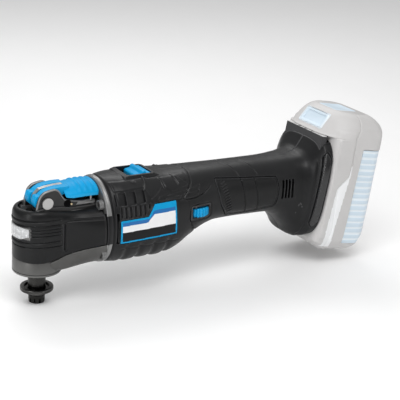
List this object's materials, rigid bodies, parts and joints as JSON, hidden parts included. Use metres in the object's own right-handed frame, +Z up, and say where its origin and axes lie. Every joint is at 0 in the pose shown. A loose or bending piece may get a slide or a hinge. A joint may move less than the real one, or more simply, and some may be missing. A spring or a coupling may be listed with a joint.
{
  "type": "cordless oscillating multi-tool",
  "caption": "Cordless oscillating multi-tool with toothed quick clamp, blue clamp lever, slide switch, speed thumbwheel and slide-on battery pack.",
  "frame": {"origin": "centre of the clamp rod's lower end, on the spindle axis, in the middle of the clamp jaws", "axes": "+Z up along the spindle, away from the tool flange; +X from the head along the barrel to the battery; -Y is the tool's left side"},
  "size_m": [0.3292, 0.075, 0.132],
  "materials": {
    "cast_metal": "satin cast metal, dark gunmetal",
    "steel": "machined steel, dark satin",
    "black_rubber": "soft black overmould, matt",
    "charcoal_plastic": "fine-grained dark charcoal plastic",
    "blue_plastic": "azure blue plastic, satin",
    "clear_lens": "frosted clear lens",
    "label_print": "printed label, satin",
    "pale_grey_plastic": "pale warm grey plastic",
    "pale_blue_plastic": "pale blue plastic",
    "circuit_board": "green circuit board",
    "copper": "copper windings and laminations",
    "brass": "brass terminals",
    "cell_wrap": "shrink-wrapped cells"
  },
  "bodies": {
    "tool": {"gear_housing": "cast_metal", "head_sleeve": "black_rubber", "led_lens": "clear_lens", "led_board": "circuit_board", "collar_screw_upper_left": "steel", "collar_screw_upper_right": "steel", "collar_screw_lower_left": "steel", "collar_screw_lower_right": "steel", "lower_spindle_bearing": "steel", "upper_spindle_bearing": "steel", "lever_pin": "steel", "motor_stator": "copper", "gearbox_bearing": "steel", "gearbox_bearing_carrier": "cast_metal", "front_motor_bearing": "steel", "front_motor_mount": "charcoal_plastic", "rear_motor_bearing": "steel", "rear_motor_mount": "charcoal_plastic", "housing_left": "charcoal_plastic", "housing_right": "charcoal_plastic", "label_left": "label_print", "label_right": "label_print", "grip_insert_left": "black_rubber", "grip_insert_right": "black_rubber", "foot_bumper_left": "black_rubber", "foot_bumper_right": "black_rubber", "housing_screw_front": "steel", "housing_screw_middle": "steel", "housing_screw_rear": "steel", "switch_module": "charcoal_plastic", "dial_potentiometer": "charcoal_plastic", "controller_board": "circuit_board", "terminal_block": "brass"},
    "spindle_unit": {"spindle": "steel", "tool_flange": "steel", "oscillating_fork": "steel"},
    "clamp": {"clamp_rod": "steel", "clamp_jaws": "steel", "clamp_spring": "steel"},
    "lever": {"clamp_lever": "blue_plastic", "lever_insert": "cast_metal"},
    "rotor": {"motor_shaft": "steel", "counterweight": "steel", "eccentric_bearing": "steel", "motor_rotor": "steel", "cooling_fan": "charcoal_plastic"},
    "switch": {"slide_switch": "blue_plastic", "switch_link": "charcoal_plastic"},
    "dial": {"speed_dial": "blue_plastic"},
    "battery": {"battery_front_shell": "pale_grey_plastic", "battery_rear_shell": "pale_grey_plastic", "battery_panel_left": "pale_blue_plastic", "battery_panel_right": "pale_blue_plastic", "front_cell_row": "cell_wrap", "rear_cell_row": "cell_wrap", "battery_board": "circuit_board"},
    "release": {"release_button": "pale_blue_plastic", "latch_hook": "charcoal_plastic"}
  },
  "joints": [
    {"name": "spindle_oscillation", "type": "hinge", "parent": "tool", "child": "spindle_unit", "pos_m": [0, 0, 0.04], "axis": [0, 0, 1], "range_deg": [-1.6, 1.6]},
    {"name": "clamp_rod_travel", "type": "slide", "parent": "spindle_unit", "child": "clamp", "axis": [0, 0, -1], "range_m": [0, 0.0023], "deforming": ["clamp_spring"]},
    {"name": "clamp_lever_swing", "type": "hinge", "parent": "tool", "child": "lever", "pos_m": [0.0022, 0, 0.0837], "axis": [0, -1, 0], "range_deg": [0, 110]},
    {"name": "motor_spin", "type": "hinge", "parent": "tool", "child": "rotor", "pos_m": [0.08, 0, 0.0567], "axis": [1, 0, 0], "continuous": true},
    {"name": "switch_slide", "type": "slide", "parent": "tool", "child": "switch", "axis": [-1, 0, 0], "range_m": [0, 0.006]},
    {"name": "speed_dial_turn", "type": "hinge", "parent": "tool", "child": "dial", "pos_m": [0.131, -0.0172, 0.0632], "axis": [0, 0, 1], "range_deg": [-130, 130]},
    {"name": "battery_slide", "type": "slide", "parent": "tool", "child": "battery", "axis": [0.1647, 0, 0.9863], "range_m": [0, 0.11]},
    {"name": "release_press", "type": "slide", "parent": "battery", "child": "release", "axis": [0.7532, 0, -0.6578], "range_m": [0, 0.003], "stiffness_N_per_m": 1500, "springref_m": -0.001}
  ],
  "couplings": [
    {"joint": "clamp_rod_travel", "follows": "clamp_lever_swing", "m_per_rad": 0.0011459}
  ]
}
